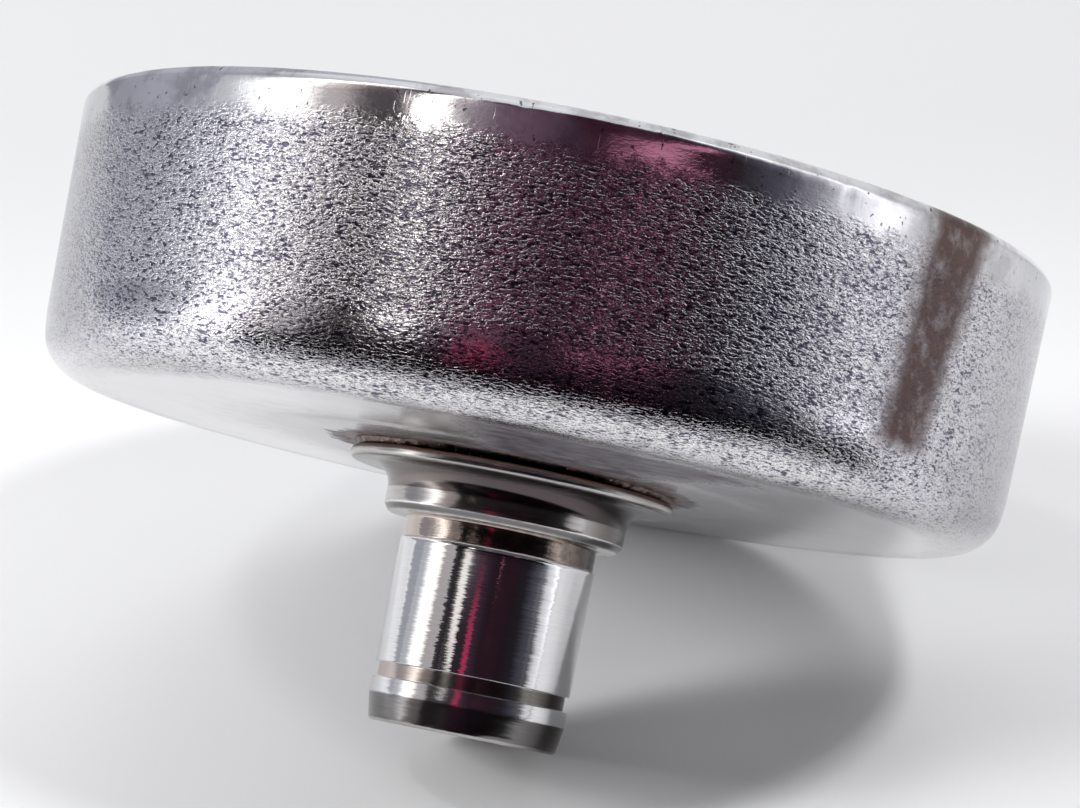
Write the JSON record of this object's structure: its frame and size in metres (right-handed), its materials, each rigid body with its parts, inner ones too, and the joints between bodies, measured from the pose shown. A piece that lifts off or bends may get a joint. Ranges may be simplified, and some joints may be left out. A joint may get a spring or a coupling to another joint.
{
  "type": "centrifugal clutch drum",
  "caption": "Round deep-drawn steel clutch drum brazed to a turned hub with a bearing journal, circlip groove and splined bore.",
  "frame": {"origin": "centre of the rim's flat end face, which the drum stands on", "axes": "+Z along the hub's axis, from the bell's mouth to the hub's free end"},
  "size_m": [0.075, 0.075, 0.0417],
  "materials": {
    "drawn_steel": "deep-drawn steel with a fine orange-peel grain",
    "ground_steel": "turned steel with a ground journal",
    "braze_copper": "dull copper braze with dark flux stains"
  },
  "bodies": {
    "root": {"drum_bell": "drawn_steel", "hub_shaft": "ground_steel", "outer_braze_ring": "braze_copper", "inner_braze_ring": "braze_copper"}
  },
  "joints": []
}
